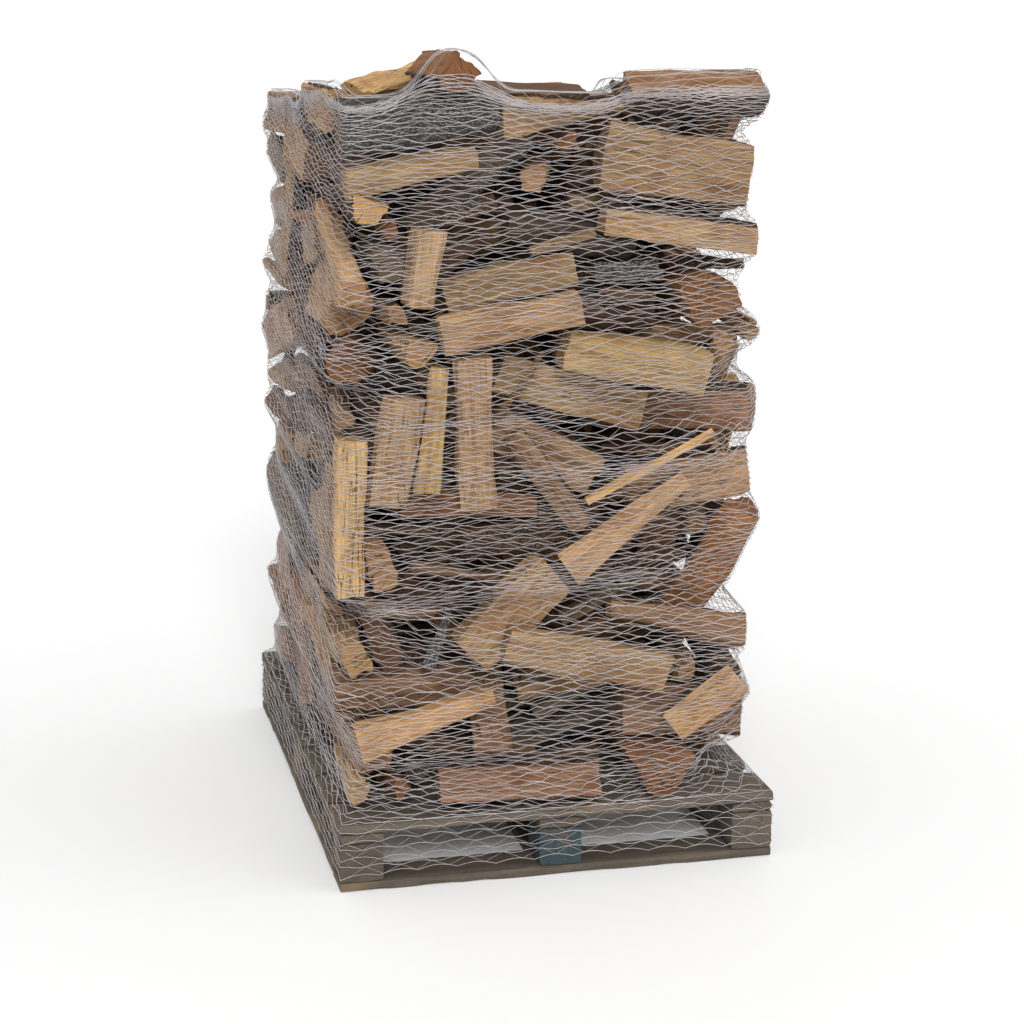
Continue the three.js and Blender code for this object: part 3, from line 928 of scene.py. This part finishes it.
NET_LENGTH = 4.4  # once round the pallet
THREAD_STEP = 0.0175
AROUND = int(NET_LENGTH / THREAD_STEP / 2) * 2
NET_GAP = 0.0028
SKIN_STEP, SKIN_REACH = 0.012, 0.016  # heights at which the load's outline is measured
SKIN_TOP = 1.80
SHRINK = 0.94  # the net draws in by this at most from one level to the next


def directions():
    """Distances round the pallet from its front left corner, and unit vectors out to those places."""
    s = np.arange(AROUND) / AROUND * NET_LENGTH
    corners = np.array([(-0.5, -0.6), (0.5, -0.6), (0.5, 0.6), (-0.5, 0.6), (-0.5, -0.6)])
    at = np.array([0, 1.0, 2.2, 3.2, 4.4])
    points = np.stack([np.interp(s, at, corners[:, k]) for k in (0, 1)], 1)
    return s, points / np.linalg.norm(points, axis=1, keepdims=True)


def outline_radius(points, ways):
    """How far the convex outline of points reaches in each direction."""
    edge = hull(points)
    nxt = np.roll(edge, -1, 0)
    d = nxt - edge
    normal = np.stack([d[:, 1], -d[:, 0]], 1)
    normal /= np.linalg.norm(normal, axis=1, keepdims=True) + 1e-12
    level = (normal * edge).sum(1)
    facing = ways @ normal.T
    with np.errstate(divide="ignore", invalid="ignore"):
        r = np.where(facing > 1e-6, level / facing, 1e9)
    return r.min(1)


def smoothed(a, width, axis, turn=False):
    """Averages along an axis with a bell of that half width, in cells. turn is for a closed ring."""
    weights = np.hanning(2 * width + 3)[1:-1]
    weights /= weights.sum()
    parts = [np.roll(a, k, axis) if turn else np.take(
        a, np.clip(np.arange(a.shape[axis]) + k, 0, a.shape[axis] - 1), axis)
        for k in range(-width, width + 1)]
    return sum(w * p for w, p in zip(weights, parts))


def load_skin(points, ways):
    """The taut surface round the load: the directions, the levels, and its radius at each."""
    levels = np.arange(DECK_TOP - 0.03, SKIN_TOP, SKIN_STEP)
    deck = np.array([(x, y) for x in (-0.5, 0.5) for y in (-0.6, 0.6)])
    radius = []
    for z in levels:
        near = points[np.abs(points[:, 2] - z) < SKIN_REACH][:, :2]
        if z < DECK_TOP + SKIN_STEP:
            near = np.concatenate([near, deck])
        if radius:
            near = np.concatenate([near, ways * radius[-1][:, None] * SHRINK])
        radius.append(outline_radius(near, ways))
    return ways, levels, smoothed(np.array(radius), 1, 0)


CELL = 0.02  # of the height field over the load's top
FIELD = np.array([64, 76])


def height_field(points):
    """The height of the load's top over a grid, each cell as high as its neighbours."""
    field = np.full(FIELD, DECK_TOP)
    cell = np.clip((points[:, :2] / CELL + FIELD / 2).astype(int), 0, FIELD - 1)
    np.maximum.at(field, (cell[:, 0], cell[:, 1]), points[:, 2])
    wide = field.copy()
    for dx in (-1, 0, 1):
        for dy in (-1, 0, 1):
            wide = np.maximum(wide, np.roll(field, (dx, dy), (0, 1)))
    return wide


def height_at(field, xy):
    cell = np.clip((xy / CELL + FIELD / 2).astype(int), 0, FIELD - 1)
    return field[cell[..., 0], cell[..., 1]]


def tube(batch, points, out, radius, seed, sides=3):
    """Closed threads: rows of points joined into thin tubes, with out pointing away from the load."""
    rows, n, _ = points.shape
    tangent = np.roll(points, -1, 1) - np.roll(points, 1, 1)
    tangent /= np.linalg.norm(tangent, axis=2, keepdims=True) + 1e-12
    side = np.cross(tangent, out)
    side /= np.linalg.norm(side, axis=2, keepdims=True) + 1e-12
    normal = np.cross(side, tangent)
    turns = np.arange(sides) / sides * 2 * np.pi
    rim = (normal[:, :, None] * np.cos(turns)[:, None] + side[:, :, None] * np.sin(turns)[:, None])
    verts = (points[:, :, None] + rim * radius).reshape(-1, 3)
    r, i, k = np.meshgrid(np.arange(rows), np.arange(n), np.arange(sides), indexing="ij")

    def number(i, k):
        return ((r * n + i % n) * sides + k % sides).ravel()

    a, b, c, d = number(i, k), number(i + 1, k), number(i + 1, k + 1), number(i, k + 1)
    tris = np.concatenate([np.stack([a, b, c], 1), np.stack([a, c, d], 1)])
    batch.add(verts, tris, np.zeros(len(tris), int), verts, (0.6, 0.55, 0.55, (seed * 0.137) % 1))


GATHERS = [  # where rows are drawn together: along, height, half width, half height, strength
    (0.23, 1.045, 0.22, 0.050, 0.80), (0.06, 0.62, 0.16, 0.080, 0.75), (0.62, 0.93, 0.25, 0.045, 0.5),
    (1.05, 0.40, 0.30, 0.060, 0.6), (1.70, 1.10, 0.35, 0.060, 0.7), (2.60, 0.85, 0.35, 0.070, 0.7),
    (3.70, 0.75, 0.40, 0.070, 0.75), (4.25, 1.20, 0.20, 0.060, 0.6), (3.40, 1.40, 0.3, 0.06, 0.6),
]


def drawn(s, z):
    """Heights of the rows after the net has been stretched unevenly and drawn together in places."""
    n = lambda size: max(3, int(NET_LENGTH / size))
    z = z + 0.017 * noise(s / NET_LENGTH * n(0.5), z / 0.09, 901, n(0.5))
    z = z + 0.0052 * noise(s / NET_LENGTH * n(0.16), z / 0.035, 902, n(0.16))
    for along, height, wide, tall, pull in GATHERS:
        apart = (s - along + NET_LENGTH / 2) % NET_LENGTH - NET_LENGTH / 2
        off = z - height
        z = z - pull * off * np.exp(-(off / tall) ** 2 - (apart / wide) ** 2)
    return z


ROW_PITCH = 0.0088
WAVE, WAVE_HEIGHT = 0.083, 0.0030  # the flat diamonds that neighbouring rows make
SKIRT_ROWS = [0.030, 0.050, 0.070, 0.092, 0.114, 0.136]
CURL_ROWS, CURL_PITCH = 4, 0.012  # rows turned in over the load's top edge


def taut(skin, rows_s, rows_z, lift):
    """Points on the taut net at distances round it and heights."""
    ways, levels, radius = skin
    column = (rows_s / NET_LENGTH * AROUND) % AROUND
    c0 = np.floor(column).astype(int) % AROUND
    c1, cf = (c0 + 1) % AROUND, column - np.floor(column)
    level = np.clip((rows_z - levels[0]) / SKIN_STEP, 0, len(levels) - 1.001)
    l0 = level.astype(int)
    lf = level - l0
    low = radius[l0, c0] * (1 - cf) + radius[l0, c1] * cf
    high = radius[l0 + 1, c0] * (1 - cf) + radius[l0 + 1, c1] * cf
    way = ways[c0] * (1 - cf)[..., None] + ways[c1] * cf[..., None]
    xy = way * (low * (1 - lf) + high * lf + NET_GAP + lift)[..., None]
    return np.concatenate([xy, rows_z[..., None]], -1)


RIM_FROM = 1.66  # the load's top edge is nowhere lower
RIM_DROP = 0.006
RIM_INSETS = (0.010, 0.030, 0.050, 0.070)


def rim_of(points, ways):
    """The load's top edge: its height all the way round, and the field of heights inside it."""
    field = height_field(points)
    last = outline_radius(points[points[:, 2] > RIM_FROM][:, :2], ways)
    top = np.zeros(AROUND)
    for inset in RIM_INSETS:
        top = np.maximum(top, height_at(field, ways * (last - inset)[:, None]))
    top = np.clip(top, RIM_FROM, None)
    top = np.maximum(top, smoothed(top, 7, 0, turn=True))
    return smoothed(top, 3, 0, turn=True) - RIM_DROP, field


SKIRT_LOOP, SKIRT_LOOP_HEIGHT = 0.088, 0.008
SKIRT_RISE = 0.014  # how much higher the skirt hangs between the pallet's corners


def skirt_rows(s):
    """Heights of the loose rows that hang over the pallet, drawn up between its corners."""
    count = len(SKIRT_ROWS)
    wide = np.broadcast_to(s, (count, AROUND))
    row = np.arange(count)[:, None]
    z = np.array(SKIRT_ROWS)[:, None] + 0.004 * noise(wide / NET_LENGTH * 24, row * 0.7 + 0 * wide, 905, 24)
    scallop = SKIRT_LOOP_HEIGHT * np.abs(np.sin(np.pi * s / SKIRT_LOOP + np.pi / 2 * row))
    rise = np.zeros(AROUND)
    for start, length in ((0, 1.0), (1.0, 1.2), (2.2, 1.0), (3.2, 1.2)):
        rise += SKIRT_RISE * np.sin(np.pi * np.clip((s - start) / length, 0, 1))
    return z + scallop + rise * (1 - row / count)


BUNCH = 0.085  # how far below the load's top edge the rows start to bunch together


def body_rows(s, top):
    """Heights of the rows round the load: wavy, so that neighbours make long flat diamonds."""
    bottom = DECK_TOP + 0.002
    count = int((top.max() - bottom) / ROW_PITCH)
    wide = np.broadcast_to(s, (count, AROUND))
    z = drawn(wide, bottom + np.arange(count)[:, None] * ROW_PITCH + 0 * wide)
    under = top[None] - z
    z = top[None] - np.where(under > BUNCH, under, BUNCH * np.exp(np.minimum(under - BUNCH, 0) / BUNCH))
    turn = 3.0 * noise(wide / NET_LENGTH * 36, z / 0.05, 903, 36)
    turn = turn + 1.3 * noise(wide / NET_LENGTH * 66, np.arange(count)[:, None] + 0 * wide, 908, 66)
    swing = WAVE_HEIGHT * (1 + 1.1 * noise(wide / NET_LENGTH * 45, z / 0.04, 904, 45))
    z = z + np.random.default_rng(31).normal(0, 0.0011, z.shape)
    phase = 2 * np.pi * int(NET_LENGTH / WAVE) * wide / NET_LENGTH + np.pi * np.arange(count)[:, None]
    return np.clip(z + swing * np.sin(phase + turn), bottom, top[None] + 0.002)


def net_rows():
    """Points along every row of the net, from the pallet's skirt to the edge turned in over the top."""
    load = np.concatenate(OUTER)
    s, ways = directions()
    top, field = rim_of(load, ways)
    z = np.concatenate([skirt_rows(s), body_rows(s, top)])
    wide = np.broadcast_to(s, z.shape)
    lift = 0.0012 * noise(wide / NET_LENGTH * 60, z / 0.03, 906, 60)
    points = taut(load_skin(load, ways), wide, z, lift)
    edge = points[-1]
    length = np.linalg.norm(edge[:, :2], axis=1, keepdims=True)
    for k in range(1, CURL_ROWS + 1):
        row = edge.copy()
        row[:, :2] *= 1 - CURL_PITCH * k / length
        over = smoothed(height_at(field, row[:, :2]), 2, 0, turn=True) + 0.004
        row[:, 2] = np.clip(over, points[-1][:, 2] - 0.007, top + 0.012)
        row[:, 2] = smoothed(row[:, 2], 1, 0, turn=True)
        points = np.concatenate([points, row[None]])
    return points


ZIGZAG = 0.080


def zigzags(points, first, last):
    """Threads that go to and fro between each row and the next."""
    legs = 2 * int(NET_LENGTH / ZIGZAG)
    at = np.arange(legs) / legs
    made = []
    for row in range(first, last):
        shift = (row * 0.37) % 1 / legs + 0.004 * noise(at * 40, 0 * at + row, 907, 40)
        column = (at + shift) % 1 * AROUND
        c0 = np.floor(column).astype(int) % AROUND
        cf = (column - np.floor(column))[:, None]
        which = row + (np.arange(legs) + row) % 2
        made.append(points[which, c0] * (1 - cf) + points[which, (c0 + 1) % AROUND] * cf)
    return np.array(made)


def outward(points):
    flat = points * np.array([1.0, 1.0, 0.0])
    return flat / np.linalg.norm(flat, axis=2, keepdims=True)


ROW_RADIUS, ZIGZAG_RADIUS = 0.0008, 0.0005


def build_net():
    """The knitted net: threads round the load, and zigzags that join each to the next."""
    points = net_rows()
    total = len(points)
    cuts = [0, total // 3, 2 * total // 3, total]
    for name, first, last in zip(("net_lower", "net_middle", "net_upper"), cuts, cuts[1:]):
        batch = Batch()
        tube(batch, points[first:last], outward(points[first:last]), ROW_RADIUS, first)
        zig = zigzags(points, first, min(last, total - 1))
        tube(batch, zig, outward(zig), ZIGZAG_RADIUS, first + 7)
        piece = batch.build(name, THREAD, sharp=0)
        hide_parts("pallet_net")


# ---------------- studio
LIGHTS = {"key": ((-0.14, -0.80, 0.64), 1.95, 24), "fill": ((0.8, -0.2, 0.5), 0.35, 60)}


def build_studio():
    """A pale floor, soft light, and the camera at the photograph's angle."""
    mesh = bpy.data.meshes.new("floor")
    reach = 90.0
    mesh.from_pydata([(-reach, -reach, 0), (reach, -reach, 0), (reach, reach, 0), (-reach, reach, 0)],
                     [], [(0, 1, 2, 3)])
    floor = bpy.data.objects.new("floor", mesh)
    bpy.context.scene.collection.objects.link(floor)
    m = Nodes("floor")
    m.shader.inputs["Base Color"].default_value = (0.93, 0.93, 0.93, 1)
    m.shader.inputs["Roughness"].default_value = 0.9
    mesh.materials.append(m.material)
    for name, (way, power, soft) in LIGHTS.items():
        light = bpy.data.lights.new(name, "SUN")
        light.energy, light.angle = power, math.radians(soft)
        lamp = bpy.data.objects.new(name, light)
        lamp.rotation_euler = (-Vector(way)).to_track_quat("-Z", "Y").to_euler()
        bpy.context.scene.collection.objects.link(lamp)
    world = bpy.data.worlds.new("studio")
    world.use_nodes = True
    world.node_tree.nodes["Background"].inputs["Color"].default_value = (1.0, 1.0, 1.0, 1)
    world.node_tree.nodes["Background"].inputs["Strength"].default_value = 0.70
    bpy.context.scene.world = world
    bpy.context.scene.view_settings.view_transform = "Standard"
    camera = bpy.data.cameras.new("camera")
    camera.lens, camera.sensor_width = 77.73, 36.0
    camera.shift_x, camera.shift_y = 0.119, -0.0996
    eye = bpy.data.objects.new("camera", camera)
    eye.location = (-1.290, -5.051, 2.103)
    eye.rotation_euler = (math.radians(77.37), 0.0, math.radians(-11.44))
    bpy.context.scene.collection.objects.link(eye)
    bpy.context.scene.camera = eye


for number, node in enumerate(sorted(n for n in NODES if n.split("_")[0] in
                                     ("base", "block", "stringer", "deck"))):
    pallet_piece(node, 300 + number)
build_pile()
build_net()
build_studio()
